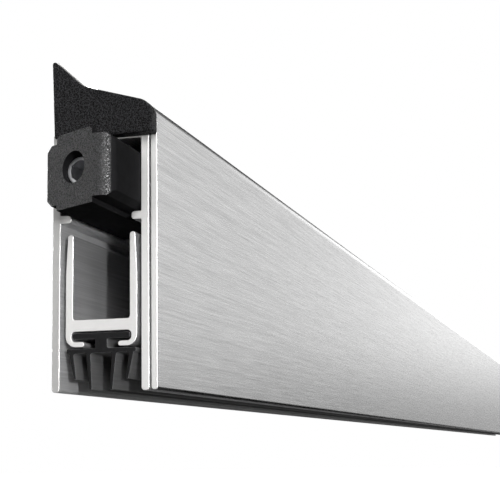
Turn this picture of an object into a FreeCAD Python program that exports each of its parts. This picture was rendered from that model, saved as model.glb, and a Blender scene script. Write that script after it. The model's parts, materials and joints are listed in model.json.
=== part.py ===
"""Automatic door bottom seal, screwed to the face of a door.

X runs along the seal, away from the end with the push block. Y points at the door, Z up.
Inside this file x starts at the housing's front end, y at its front face and z at its open
bottom edges, and every sub-part is placed so that the origin ends up in the middle of the
seal's bottom. Pressing the block slides a rod, and two bell cranks turn that push into the
drop of the carrier with its rubber seal.
"""
import FreeCAD, Part
import math
import os
import re
import Sketcher

SIZES = {
    # Housing extrusion: an inverted U with two inner ledges and a fixing flange
    "length": 710,
    "depth": 15,
    "wall": 1.2,
    "roof": 1.2,
    "wall_end_round": 0.5,
    "chamber": 10.9,
    "ledge_thickness": 1.2,
    "ledge_round": 0.45,
    "front_ledge": 1.5,
    "ledge_clearance": 0.4,
    "flange_rise": 8.6,
    "flange_setback": 3,
    "flange_lip": 0.7,
    "fixing_hole": 4.5,
    "fixing_rise": 3.6,
    "fixing_inset": 40,
    # Hooks that hold the cover
    "hook_place": 3.0,
    "hook_wall": 1.0,
    "hook_height": 2.4,
    "hook_nib": 0.5,
    "nib_thickness": 0.8,
    "clip_gap": 0.2,
    # Cover extrusion
    "cover_wall": 1.0,
    "cover_gap": 0.3,
    "cover_foot": 0.1,
    "shoulder_rise": 3.5,
    "bend_rise": 6.55,
    "tip_rise": 11.72,
    "steep_run": 5.6,
    "tip_setback": 0.4,
    "cover_leg": 0.8,
    "shoulder_round": 2.7,
    "bend_round": 5.5,
    "cover_tip_round": 0.3,
    # End caps
    "cap_plate": 2.2,
    "cap_lap": 1,
    "cap_step": 0.3,
    "cap_tip_setback": 0.6,
    "cap_heel_setback": 1.05,
    "cap_tip_round": 0.35,
    "cap_chamfer": 0.3,
    "peg_reach": 8,
    "peg_depth": 5.2,
    "peg_width": 5.4,
    "peg_height": 3.4,
    "peg_gap": 0.1,
    # Push block
    "nose_reach": 11,
    "nose_round": 2,
    "nose_slant": 31.5,
    "block_tail": 20,
    "slide_gap": 0.1,
    "ledge_gap": 0.3,
    "wing_gap": 1.7,
    "wing_chamfer": 0.9,
    "band_gap": 0.55,
    "band_drop": 0.8,
    "band_front_half": 3.8,
    "band_back_half": 3.5,
    "moulded_chamfer": 0.5,
    "block_bore": 4.5,
    "block_skin": 0.55,
    "neck_play": 0.2,
    "neck_engagement": 5,
    # Adjusting screw, its clip and the rod end
    "adjustment_in": 2.4,
    "bore_gap": 0.6,
    "stop_gap": 0.5,
    "screw_sink": 5.5,
    "screw_thread": 4.36,
    "thread_gap": 1.5,
    "screw_shank": 3.4,
    "screw_neck": 2.4,
    "screw_overrun": 2.5,
    "screw_socket": 3,
    "socket_depth": 4,
    "rod_end_length": 19,
    "rod_end_width": 6.8,
    "rod_end_gap": 1,
    "rod_socket_depth": 11.4,
    "clip_inset": 3.1,
    "clip_thickness": 0.9,
    "clip_width": 5,
    "clip_drop": 2.5,
    # Push rod and what rides on it
    "rod": 5,
    "rod_offset": 0.7,
    "rod_overrun": 31,
    "fork_length": 8,
    "fork_gap": 2.3,
    "fork_lug": 1.0,
    "fork_lug_length": 5.2,
    "fork_lug_drop": 2.6,
    "coil_radius": 3.4,
    "coil_wire": 1.0,
    "coil_turns": 5,
    "coil_bends": 8,
    # Lifting stations
    "station_inset": 150,
    "mechanism_offset": 0.15,
    "pivot_rise": 6.41,
    "pin_lift": 0.1,
    "swing": 44,
    "rod_arm": 9.2,
    "carrier_arm": 13.61,
    "crank_half_width": 2.7,
    "arm_overrun": 1.3,
    "arm_play": 0.2,
    "arm_clearance": 0.6,
    "crank_gusset": 6.5,
    "pin": 3,
    "pin_fit": 0.02,
    "pin_clearance": 0.3,
    "pivot_play": 0.08,
    "side_play": 0.3,
    "cheek": 1.15,
    "cheek_gap": 0.34,
    "cheek_lift": 0.41,
    "cheek_shoulder_drop": 2.2,
    "frame_block": 7,
    "frame_gap": 0.2,
    "frame_stop": 0.3,
    "spring_room": 20.7,
    "slot_chamfer": 0.8,
    "stake_length": 4,
    "stake_width": 6,
    # Carrier extrusion with its brackets
    "carrier_gap": 0.76,
    "carrier_leg": 1.15,
    "carrier_leg_tip": 0.85,
    "taper_rise": 6.61,
    "leg_gap": 1.75,
    "carrier_web": 1.71,
    "carrier_lip": 0.77,
    "slot_wall": 0.94,
    "seal_slot": 1.48,
    "carrier_mouth_half": 2.6,
    "carrier_round": 1.6,
    "leg_round": 0.4,
    "bracket_sheet": 1.0,
    "ear": 0.8,
    "ear_length": 6.4,
    "ear_rise": 2.6,
    "bracket_tail": 11,
    "tongue_width": 4,
    # Rubber seal
    "seal_lift": 0.25,
    "seal_gap": 0.23,
    "seal_side_gap": 0.2,
    "seal_head_thickness": 0.85,
    "seal_stem_half": 0.95,
    "seal_base_thickness": 0.65,
    "outer_fin_inset": 0.7,
    "outer_fin_lean": 0.65,
    "outer_fin_length": 3.8,
    "inner_fin_root": 2.0,
    "inner_fin_lean": 0.45,
    "inner_fin_length": 5.3,
    "fin_root_thickness": 0.72,
    "fin_tip_thickness": 0.42,
}

document = FreeCAD.newDocument("DoorBottomSeal")
sheet = document.addObject("Spreadsheet::Sheet", "Sizes")
for row, (alias, size) in enumerate(SIZES.items(), 1):
    sheet.set(f"A{row}", alias)
    sheet.set(f"B{row}", str(size))
    sheet.setAlias(f"B{row}", alias)
document.recompute()

# Heights, stacked up from the housing's open bottom edges
BASE_BOTTOM = "(seal_lift + inner_fin_length)"
BASE_TOP = f"({BASE_BOTTOM} + seal_base_thickness)"
CARRIER_BOTTOM = f"({BASE_TOP} + seal_gap)"
SLOT_BOTTOM = f"({CARRIER_BOTTOM} + carrier_lip)"
SLOT_TOP = f"({SLOT_BOTTOM} + seal_slot)"
WEB_TOP = f"({SLOT_TOP} + carrier_web)"
PIVOT_Z = f"({WEB_TOP} + pivot_rise)"
CARRIER_PIN_Z = f"({PIVOT_Z} + carrier_arm * tan(swing / 2))"
ROD_PIN_Z = f"({PIVOT_Z} + rod_arm)"
LEDGE_TOP = f"({ROD_PIN_Z} - pin_lift)"
LEDGE_BOTTOM = f"({LEDGE_TOP} - ledge_thickness)"
CEILING = f"({LEDGE_TOP} + chamber)"
ROOF_TOP = f"({CEILING} + roof)"
FLANGE_TOP = f"({ROOF_TOP} + flange_rise)"
WING_BOTTOM = f"({LEDGE_TOP} + ledge_gap)"
WING_TOP = f"({CEILING} - wing_gap)"
BAND_BOTTOM = f"({WING_BOTTOM} - band_drop)"
BAND_TOP = f"({CEILING} - band_gap)"
ROD_Z = f"(({BAND_BOTTOM} + {CEILING}) / 2)"

# Depths, from the housing's front face towards the door
BACK_WALL = "(depth - wall)"
WING_FRONT = "(wall + slide_gap)"
WING_BACK = f"({BACK_WALL} - slide_gap)"
ROD_Y = "(depth / 2 + rod_offset)"
BAND_FRONT = f"({ROD_Y} - band_front_half)"
BAND_BACK = f"({ROD_Y} + band_back_half)"
TIP_Y = "(depth - tip_setback)"
BEND_Y = f"({TIP_Y} - steep_run)"
MECHANISM_Y = "(depth / 2 - mechanism_offset)"

# Half widths about the mechanism's middle, from the carrier inwards to the crank
CARRIER_HALF = "(depth / 2 - wall - carrier_gap)"
CARRIER_INNER = f"({CARRIER_HALF} - carrier_leg)"
SLOT_HALF = f"({CARRIER_HALF} - slot_wall)"
CHEEK_OUTER = f"({CARRIER_INNER} - cheek_gap)"
CHEEK_INNER = f"({CHEEK_OUTER} - cheek)"
EAR_OUTER = f"({CHEEK_INNER} - side_play)"
EAR_INNER = f"({EAR_OUTER} - ear)"
CRANK_HALF = f"({EAR_INNER} - side_play)"
LUG_OUTER = f"({EAR_INNER} + fork_lug)"

# Places along the seal, those of a lifting station from its pivot
STATIONS = {"front": "station_inset", "rear": "(length - station_inset)"}
ROD_PIN_X = "(0 - rod_arm * tan(swing / 2))"
FORK_FRONT = f"({ROD_PIN_X} - fork_length / 2)"
FORK_BACK = f"({ROD_PIN_X} + fork_length / 2)"
SPRING_SEAT = f"({FORK_BACK} + spring_room)"
FRONT_BLOCK = f"({FORK_FRONT} - frame_stop - frame_block)"
STAKE_X = f"({SPRING_SEAT} + frame_block / 2)"
BRACKET_FRONT = "(carrier_arm - ear_length / 2)"
BRACKET_BACK = "(carrier_arm + bracket_tail)"
NECK_START = "(block_tail - neck_engagement)"
ROD_END_START = "(block_tail + adjustment_in + stop_gap)"
ROD_END_TAIL = f"({ROD_END_START} + rod_end_length)"
CLIP_X = f"({ROD_END_START} + clip_inset)"
SCREW_TAIL = f"({CLIP_X} + screw_overrun)"

# The middle of the seal's bottom, and the neck that slides in the push block
MIDDLE_X = "((length + cap_plate - nose_reach) / 2)"
MIDDLE_Y = "((depth - cover_gap - cover_wall) / 2)"
NECK = f"(2 * ({BAND_TOP} - {ROD_Z} - block_skin - neck_play))"

# Each sketch plane: its name and the two axes that it shows
PLANES = {"X": ("YZ_Plane", "yz"), "Y": ("XZ_Plane", "xz"), "Z": ("XY_Plane", "xy")}
TOUCH = 1e-4


def bound(text):
    """An expression in which each size's name stands for its cell in the sheet."""
    return re.sub(r"[a-z_]+", lambda word: "Sizes." * (word[0] in SIZES) + word[0], text)


def value(text):
    """The number that an expression on the sizes has now."""
    return float(sheet.evalExpression(bound(text)))


def tie(thing, name, text):
    """Bind one property of an object to an expression on the sizes."""
    thing.setExpression(name, bound(text))


def place(thing, x="0", y="0", z="0"):
    """Put an object's own origin at x, y, z of the seal, seen from the common origin."""
    tie(thing, "Placement.Base.x", f"{x} - {MIDDLE_X}")
    tie(thing, "Placement.Base.y", f"{y} - {MIDDLE_Y}")
    tie(thing, "Placement.Base.z", z)


def new_body(label, x="0", y="0", z="0"):
    """An empty body with its own label and place."""
    body = document.addObject("PartDesign::Body", label)
    place(body, x, y, z)
    return body


def new_sketch(body, axis, level):
    """A sketch across an axis at a level, on the body's own origin plane."""
    sketch = body.newObject("Sketcher::SketchObject", f"{body.Name}_sketch")
    plane = next(item for item in body.Origin.OriginFeatures if item.Role == PLANES[axis][0])
    sketch.AttachmentSupport = [(plane, "")]
    sketch.MapMode = "FlatFace"
    tie(sketch, "AttachmentOffset.Base.z", f"0 - ({level})" if axis == "Y" else level)
    return sketch


def fix_point(sketch, element, end, u, v):
    """Hold one point of a sketch at two expressions from the sketch's origin."""
    for kind, text in (("DistanceX", u), ("DistanceY", v)):
        number = sketch.addConstraint(Sketcher.Constraint(kind, -1, 1, element, end, value(text)))
        tie(sketch, f"Constraints[{number}]", text)


def draw_outline(sketch, points):
    """A closed outline of straight sides through points given as expressions."""
    first = sketch.GeometryCount
    corners = [FreeCAD.Vector(value(u), value(v), 0) for u, v in points]
    for number, corner in enumerate(corners):
        after = corners[(number + 1) % len(corners)]
        sketch.addGeometry(Part.LineSegment(corner, after))
    for number, (u, v) in enumerate(points):
        before = first + (number - 1) % len(points)
        sketch.addConstraint(Sketcher.Constraint("Coincident", before, 2, first + number, 1))
        fix_point(sketch, first + number, 1, u, v)


def draw_circle(sketch, u, v, diameter):
    """A circle with its centre and diameter given as expressions."""
    centre = FreeCAD.Vector(value(u), value(v), 0)
    element = sketch.addGeometry(Part.Circle(centre, FreeCAD.Vector(0, 0, 1), value(diameter) / 2))
    fix_point(sketch, element, 3, u, v)
    size = Sketcher.Constraint("Diameter", element, value(diameter))
    tie(sketch, f"Constraints[{sketch.addConstraint(size)}]", diameter)


def draw(sketch, shapes):
    """Outlines are lists of points, circles are one place with a diameter."""
    for shape in shapes:
        if isinstance(shape, list):
            draw_outline(sketch, shape)
        else:
            draw_circle(sketch, *shape)


def extrude(body, kind, axis, shapes, low, high):
    """Pad or pocket the shapes along an axis, from a low level to a high one."""
    from_low = (kind == "Pad") == (axis != "Y")
    sketch = new_sketch(body, axis, low if from_low else high)
    draw(sketch, shapes)
    feature = body.newObject(f"PartDesign::{kind}", f"{body.Name}_{kind}")
    feature.Profile = sketch
    tie(feature, "Length", f"({high}) - ({low})")
    body.Tip = feature
    document.recompute()
    return feature


def pad(body, axis, shapes, low, high):
    return extrude(body, "Pad", axis, shapes, low, high)


def pocket(body, axis, shapes, low, high):
    return extrude(body, "Pocket", axis, shapes, low, high)


def turn(body, points, axis="X"):
    """Revolve a half outline about X, Y or Z. A point is a place on the axis and a radius."""
    sketch = new_sketch(body, "Z" if axis != "Z" else "Y", "0")
    draw_outline(sketch, points if axis == "X" else [(radius, along) for along, radius in points])
    feature = body.newObject("PartDesign::Revolution", f"{body.Name}_Revolution")
    feature.Profile = sketch
    feature.ReferenceAxis = (sketch, ["H_Axis" if axis == "X" else "V_Axis"])
    feature.Angle = 360
    body.Tip = feature
    document.recompute()
    return feature


def work_edges(body, kind, size, names):
    """Fillet or chamfer the named edges of the body's last feature."""
    feature = body.newObject(f"PartDesign::{kind}", f"{body.Name}_{kind}")
    feature.Base = (feature.BaseFeature, names)
    tie(feature, "Radius" if kind == "Fillet" else "Size", size)
    body.Tip = feature
    document.recompute()


def soften(body, kind, size, axis, places):
    """Fillet or chamfer the edges that run along an axis through the given places across it."""
    across = PLANES[axis][1]
    wanted = [(value(u), value(v)) for u, v in places]
    names = []
    for number, edge in enumerate(body.Tip.Shape.Edges, 1):
        ends = [[getattr(vertex.Point, name) for name in across] for vertex in edge.Vertexes]
        if any(all(math.dist(end, spot) < TOUCH for end in ends) for spot in wanted):
            names.append(f"Edge{number}")
    work_edges(body, kind, size, names)


def chamfer_rim(body, size, x):
    """Chamfer the whole outline of the end face that stands at one x."""
    level = value(x)
    names = [f"Edge{number}" for number, edge in enumerate(body.Tip.Shape.Edges, 1)
             if all(abs(vertex.X - level) < TOUCH for vertex in edge.Vertexes)]
    work_edges(body, "Chamfer", size, names)


def rectangle(left, right, bottom, top):
    return [(left, bottom), (left, top), (right, top), (right, bottom)]


def band(middle, half, bottom, top):
    """A rectangle that lies evenly about a middle."""
    return rectangle(f"({middle} - {half})", f"({middle} + {half})", bottom, top)


# Lines of the cover in section: the shallow slope over the housing and the steep one to the door
SHALLOW = f"((bend_rise - shoulder_rise) / ({BEND_Y} + cover_gap + cover_wall))"
STEEP = "((tip_rise - bend_rise) / steep_run)"


def on_shallow(y):
    """Height of the cover's outer shallow slope at a depth."""
    return f"({ROOF_TOP} + bend_rise + {SHALLOW} * ({y} - {BEND_Y}))"


def on_steep(y):
    """Height of the cover's outer steep slope at a depth."""
    return f"({ROOF_TOP} + bend_rise + {STEEP} * ({y} - {BEND_Y}))"


def under(line, slope, y):
    """Height of the cover's inner face, one wall below a sloping line."""
    return f"({line(y)} - cover_wall * sqrt(1 + {slope} * {slope}))"


def housing_profile():
    """Inverted U with ledges, cover hook and fixing flange, drilled for screws and punched for frames."""
    body = new_body("housing_profile")
    hook_front, hook_back = "hook_place", "(hook_place + hook_wall)"
    hook_top = f"({ROOF_TOP} + hook_height)"
    lip = f"({BACK_WALL} - flange_lip)"
    front_ledge_end = "(wall + front_ledge)"
    back_ledge_end = f"({BAND_BACK} + ledge_clearance)"
    pad(body, "X", [[
        ("0", "0"), ("0", ROOF_TOP),
        (hook_front, ROOF_TOP), (hook_front, f"({hook_top} - nib_thickness)"),
        ("(hook_place - hook_nib)", f"({hook_top} - nib_thickness)"),
        ("(hook_place - hook_nib)", hook_top), (hook_back, hook_top),
        (hook_back, ROOF_TOP), (BACK_WALL, ROOF_TOP),
        (BACK_WALL, f"({FLANGE_TOP} - flange_lip)"), (lip, f"({FLANGE_TOP} - flange_lip)"),
        (lip, FLANGE_TOP), ("depth", FLANGE_TOP), ("depth", "0"), (BACK_WALL, "0"),
        (BACK_WALL, LEDGE_BOTTOM), (back_ledge_end, LEDGE_BOTTOM),
        (back_ledge_end, LEDGE_TOP), (BACK_WALL, LEDGE_TOP), (BACK_WALL, CEILING),
        ("wall", CEILING), ("wall", LEDGE_TOP), (front_ledge_end, LEDGE_TOP),
        (front_ledge_end, LEDGE_BOTTOM), ("wall", LEDGE_BOTTOM), ("wall", "0"),
    ]], "0", "length")
    soften(body, "Fillet", "wall_end_round", "X",
           [(y, "0") for y in ("0", "wall", BACK_WALL, "depth")] + [("0", ROOF_TOP)])
    soften(body, "Fillet", "ledge_round", "X",
           [(y, z) for y in (front_ledge_end, back_ledge_end) for z in (LEDGE_BOTTOM, LEDGE_TOP)])
    above = f"({FLANGE_TOP} + 1)"
    pocket(body, "Y", [rectangle("-1", "flange_setback", ROOF_TOP, above),
                       rectangle("(length - flange_setback)", "(length + 1)", ROOF_TOP, above)],
           f"({lip} - 1)", "(depth + 1)")
    pitch = "((length - 2 * fixing_inset) / 3)"
    pocket(body, "Y", [(f"(fixing_inset + {number} * {pitch})", f"({ROOF_TOP} + fixing_rise)", "fixing_hole")
                       for number in range(4)], f"({BACK_WALL} - 1)", "(depth + 1)")
    pocket(body, "Z", [stake(station, "pin_fit") for station in STATIONS.values()],
           f"({CEILING} - 1)", f"({ROOF_TOP} + 1)")


def cover_profile():
    """Bent cover whose two legs hook under the housing's hook and under the flange's lip."""
    body = new_body("cover_profile")
    outer, inner = "(0 - cover_gap - cover_wall)", "(0 - cover_gap)"
    shoulder, bend, tip = [f"({ROOF_TOP} + {level}_rise)" for level in ("shoulder", "bend", "tip")]
    tip_drop = under(on_steep, STEEP, TIP_Y)
    leg_back = f"({BACK_WALL} - flange_lip - clip_gap / 2)"
    leg_front = f"({leg_back} - cover_leg)"
    catch_top = f"({FLANGE_TOP} - flange_lip - clip_gap)"
    catch_bottom = f"({catch_top} - flange_lip)"
    hook_back = "(hook_place - clip_gap - hook_nib - cover_leg / 4)"
    hook_front = f"({hook_back} - cover_leg)"
    toe_top = f"({ROOF_TOP} + hook_height - nib_thickness - clip_gap)"
    toe_bottom = f"({ROOF_TOP} + clip_gap)"
    step = f"(cover_wall * (sqrt(1 + {STEEP} * {STEEP}) - sqrt(1 + {SHALLOW} * {SHALLOW})))"
    inner_bend = f"({BEND_Y} + {step} / ({STEEP} - {SHALLOW}))"
    pad(body, "X", [[
        (outer, "cover_foot"), (outer, shoulder), (BEND_Y, bend), (TIP_Y, tip),
        (TIP_Y, tip_drop), (leg_back, under(on_steep, STEEP, leg_back)),
        (leg_back, catch_top), (f"({leg_back} + hook_nib)", catch_top),
        (f"({leg_back} + hook_nib)", catch_bottom), (leg_front, catch_bottom),
        (leg_front, under(on_steep, STEEP, leg_front)),
        (inner_bend, under(on_shallow, SHALLOW, inner_bend)),
        (hook_back, under(on_shallow, SHALLOW, hook_back)), (hook_back, toe_top),
        ("(hook_place - clip_gap)", toe_top), ("(hook_place - clip_gap)", toe_bottom),
        (hook_front, toe_bottom), (hook_front, under(on_shallow, SHALLOW, hook_front)),
        (inner, under(on_shallow, SHALLOW, inner)), (inner, "cover_foot"),
    ]], "0", "length")
    soften(body, "Fillet", "shoulder_round", "X", [(outer, shoulder)])
    soften(body, "Fillet", "(shoulder_round - cover_wall)", "X",
           [(inner, under(on_shallow, SHALLOW, inner))])
    soften(body, "Fillet", "bend_round", "X", [(BEND_Y, bend)])
    soften(body, "Fillet", "(cover_wall / 2 - cover_foot / 2)", "X",
           [(outer, "cover_foot"), (inner, "cover_foot")])
    soften(body, "Fillet", "cover_tip_round", "X", [(TIP_Y, tip), (TIP_Y, tip_drop)])


def end_cap(label, outside, inside, peg_end):
    """Moulded plate in the cover's outline, with a peg that plugs the hollow under the cover."""
    body = new_body(label)
    front, shoulder = "(0 - cover_gap - cover_wall)", f"({ROOF_TOP} + shoulder_rise)"
    bottom = f"({ROOF_TOP} - cap_lap)"
    bend = f"({BEND_Y} + cap_step / ({STEEP} - {SHALLOW}))"
    tip_y = "(depth - cap_tip_setback)"
    tip = (tip_y, f"({on_steep(tip_y)} - cap_step)")
    plate = sorted((outside, inside), key=value)
    pad(body, "X", [[(front, bottom), (front, shoulder), (bend, on_shallow(bend)), tip,
                     ("(depth - cap_heel_setback)", bottom)]], *plate)
    soften(body, "Fillet", "shoulder_round", "X", [(front, shoulder)])
    soften(body, "Fillet", "bend_round", "X", [(bend, on_shallow(bend))])
    soften(body, "Fillet", "cap_tip_round", "X", [tip])
    chamfer_rim(body, "cap_chamfer", outside)
    peg = rectangle("peg_depth", "(peg_depth + peg_width)", f"({ROOF_TOP} + peg_gap)",
                    f"({ROOF_TOP} + peg_gap + peg_height)")
    pad(body, "X", [peg], *sorted((inside, peg_end), key=value))


def stake(station, gap="0"):
    """Outline from above of the peg that holds a lift frame in the roof, or of its hole with a gap."""
    return rectangle(*(f"({station} + {STAKE_X} {side} (stake_length / 2 + {gap}))" for side in "-+"),
                     *(f"(depth / 2 {side} (stake_width / 2 + {gap}))" for side in "-+"))


def tongues(station, gap="0"):
    """Outlines from above of a bracket's two folded tongues, or of their slots with a gap."""
    ends = ((BRACKET_FRONT, f"({BRACKET_FRONT} + bracket_sheet)"),
            (f"({BRACKET_BACK} - bracket_sheet)", BRACKET_BACK))
    return [rectangle(f"({station} + {low} - {gap})", f"({station} + {high} + {gap})",
                      *(f"({MECHANISM_Y} {side} (tongue_width / 2 + {gap}))" for side in "-+"))
            for low, high in ends]


def slider_section(bottom):
    """Section of what slides in the upper chamber: two wings over the ledges and a middle band."""
    return [
        (WING_FRONT, WING_BOTTOM), (BAND_FRONT, WING_BOTTOM), (BAND_FRONT, bottom),
        (BAND_BACK, bottom), (BAND_BACK, WING_BOTTOM), (WING_BACK, WING_BOTTOM),
        (WING_BACK, WING_TOP), (BAND_BACK, WING_TOP), (BAND_BACK, BAND_TOP),
        (BAND_FRONT, BAND_TOP), (BAND_FRONT, WING_TOP), (WING_FRONT, WING_TOP),
    ]


def actuator_block():
    """Moulded push block with a slanted, rounded nose that the door frame slides along."""
    body = new_body("actuator_block")
    flank = "(nose_round - nose_reach - nose_round / cos(nose_slant))"
    corner = f"({flank} - nose_round * tan(nose_slant))"
    heel = f"({flank} + ({WING_BACK} - {WING_FRONT} - nose_round) * tan(nose_slant))"
    pad(body, "X", [slider_section(BAND_BOTTOM)], corner, "block_tail")
    soften(body, "Chamfer", "wing_chamfer", "X",
           [(y, z) for y in (WING_BACK, WING_FRONT) for z in (WING_BOTTOM, WING_TOP)])
    soften(body, "Chamfer", "moulded_chamfer", "X", [(y, BAND_TOP) for y in (BAND_FRONT, BAND_BACK)])
    pocket(body, "Z", [[(corner, WING_FRONT), (heel, WING_BACK), (heel, f"({WING_BACK} + 1)"),
                        (f"({corner} - 1)", f"({WING_BACK} + 1)"), (f"({corner} - 1)", WING_FRONT)]],
           LEDGE_BOTTOM, ROOF_TOP)
    soften(body, "Fillet", "nose_round", "Z", [(corner, WING_FRONT)])
    pocket(body, "X", [(ROD_Y, ROD_Z, "block_bore")], f"({corner} - 1)", "block_tail")
    pocket(body, "X", [(ROD_Y, ROD_Z, f"({NECK} + 2 * neck_play)")],
           f"({NECK_START} - adjustment_in - bore_gap)", "block_tail")


def adjust_screw():
    """Turned screw: threaded front with a hexagon socket, plain shank with a groove for the clip."""
    body = new_body("adjust_screw", "0", ROD_Y, ROD_Z)
    thread_end = f"({NECK_START} - thread_gap)"
    groove = [f"({CLIP_X} {side} clip_thickness / 2 {side} slide_gap)" for side in "-+"]
    turn(body, [("(0 - screw_sink)", "0"), ("(0 - screw_sink)", "(screw_thread / 2)"),
                (thread_end, "(screw_thread / 2)"), (thread_end, "(screw_shank / 2)"),
                (groove[0], "(screw_shank / 2)"),
                (groove[0], "(screw_neck / 2)"), (groove[1], "(screw_neck / 2)"),
                (groove[1], "(screw_shank / 2)"), (SCREW_TAIL, "(screw_shank / 2)"), (SCREW_TAIL, "0")])
    corners = [(f"(screw_socket / sqrt(3) * cos({30 + 60 * side}))",
                f"(screw_socket / sqrt(3) * sin({30 + 60 * side}))") for side in range(6)]
    pocket(body, "X", [corners], "(0 - screw_sink - 1)", "(socket_depth - screw_sink)")


def rod_end():
    """Die-cast coupling between screw and rod, cross-cut for the clip that holds the screw."""
    body = new_body("rod_end")
    top = f"({CEILING} - rod_end_gap)"
    pad(body, "X", [band(ROD_Y, "rod_end_width / 2", WING_BOTTOM, top)], ROD_END_START, ROD_END_TAIL)
    soften(body, "Chamfer", "moulded_chamfer", "X",
           [(f"({ROD_Y} {side} rod_end_width / 2)", z) for side in "-+" for z in (top, WING_BOTTOM)])
    pad(body, "X", [(ROD_Y, ROD_Z, NECK)], NECK_START, ROD_END_START)
    pocket(body, "X", [(ROD_Y, ROD_Z, "(screw_shank + 2 * pivot_play)")],
           f"({NECK_START} - 1)", f"({SCREW_TAIL} + slide_gap)")
    pocket(body, "X", [(ROD_Y, ROD_Z, "(rod + 2 * pin_fit)")],
           f"({ROD_END_TAIL} - rod_socket_depth)", f"({ROD_END_TAIL} + 1)")
    pocket(body, "Z", [[(f"({CLIP_X} {a} clip_thickness / 2 {a} slide_gap / 2)",
                         f"({ROD_Y} {b} clip_width / 2 {b} slide_gap)")
                        for a, b in ("--", "-+", "++", "+-")]],
           f"({ROD_Z} - clip_drop - slide_gap)", f"({top} + 1)")


def screw_clip():
    """Stamped U-shaped plate that drops into the screw's groove."""
    body = new_body("screw_clip")
    half, bottom = "(clip_width / 2)", f"({ROD_Z} - clip_drop)"
    throat = "(screw_neck / 2 + pivot_play)"
    throat_top, top = f"({ROD_Z} + {throat})", f"({CEILING} - rod_end_gap - slide_gap)"
    outline = [(f"({ROD_Y} - {half})", bottom), (f"({ROD_Y} - {half})", top),
               (f"({ROD_Y} + {half})", top), (f"({ROD_Y} + {half})", bottom),
               (f"({ROD_Y} + {throat})", bottom), (f"({ROD_Y} + {throat})", throat_top),
               (f"({ROD_Y} - {throat})", throat_top), (f"({ROD_Y} - {throat})", bottom)]
    pad(body, "X", [outline], f"({CLIP_X} - clip_thickness / 2)", f"({CLIP_X} + clip_thickness / 2)")
    soften(body, "Fillet", "(screw_neck / 2)", "X",
           [(f"({ROD_Y} {side} {throat})", throat_top) for side in "-+"])


def bar(label, diameter, low, high, turn_axis, degrees, *spot):
    """Plain round bar between two levels of the axis that it is turned onto."""
    solid = document.addObject("Part::Cylinder", label)
    solid.Placement.Rotation = FreeCAD.Rotation(FreeCAD.Vector(*turn_axis), degrees)
    tie(solid, "Radius", f"{diameter} / 2")
    tie(solid, "Height", f"({high}) - ({low})")
    place(solid, *spot)
    return solid


def push_rod():
    """Drawn rod from its socket in the rod end to beyond the rear station."""
    start = f"({ROD_END_TAIL} - rod_socket_depth + slide_gap)"
    end = f"({STATIONS['rear']} + rod_overrun)"
    bar("push_rod", "rod", start, end, (0, 1, 0), 90, start, ROD_Y, ROD_Z)


def pin_across(label, station, x, z, half_length):
    """Straight pin that lies across the seal, evenly about the mechanism."""
    start, end = (f"({MECHANISM_Y} {side} {half_length})" for side in "-+")
    bar(label, "pin", start, end, (1, 0, 0), -90, f"{station} + {x}", start, z)


def slider_fork(label, station):
    """Moulded slider pressed on the rod. Two lugs reach down between the ledges to hold a pin."""
    body = new_body(label, station)
    lugs = [f"({MECHANISM_Y} {side} {LUG_OUTER})" for side in "-+"]
    lug_end = f"({ROD_PIN_Z} - fork_lug_drop)"
    slot_top = f"({ROD_PIN_Z} + arm_overrun + arm_clearance)"
    wing_top = f"({CEILING} - fork_gap)"
    outline = [(WING_FRONT, WING_BOTTOM), (WING_BACK, WING_BOTTOM), (WING_BACK, wing_top),
               (BAND_BACK, wing_top), (BAND_BACK, BAND_TOP), (BAND_FRONT, BAND_TOP),
               (BAND_FRONT, wing_top), (WING_FRONT, wing_top)]
    pad(body, "X", [outline], FORK_FRONT, FORK_BACK)
    pad(body, "Y", [band(ROD_PIN_X, "fork_lug_length / 2", lug_end, f"({WING_BOTTOM} + slide_gap)")], *lugs)
    soften(body, "Chamfer", "fork_lug", "Y",
           [(f"({ROD_PIN_X} {side} fork_lug_length / 2)", lug_end) for side in "-+"])
    soften(body, "Chamfer", "moulded_chamfer", "X",
           [(y, z) for y in (WING_FRONT, WING_BACK) for z in (WING_BOTTOM, wing_top)])
    pocket(body, "X", [band(MECHANISM_Y, EAR_INNER, f"({lug_end} - 1)", slot_top)],
           f"({FORK_FRONT} - 1)", f"({FORK_BACK} + 1)")
    pocket(body, "X", [(ROD_Y, ROD_Z, "(rod + 2 * pin_fit)")],
           f"({FORK_FRONT} - 1)", f"({FORK_BACK} + 1)")
    pocket(body, "Y", [(ROD_PIN_X, ROD_PIN_Z, "(pin + 2 * pin_fit)")], *lugs)


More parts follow.
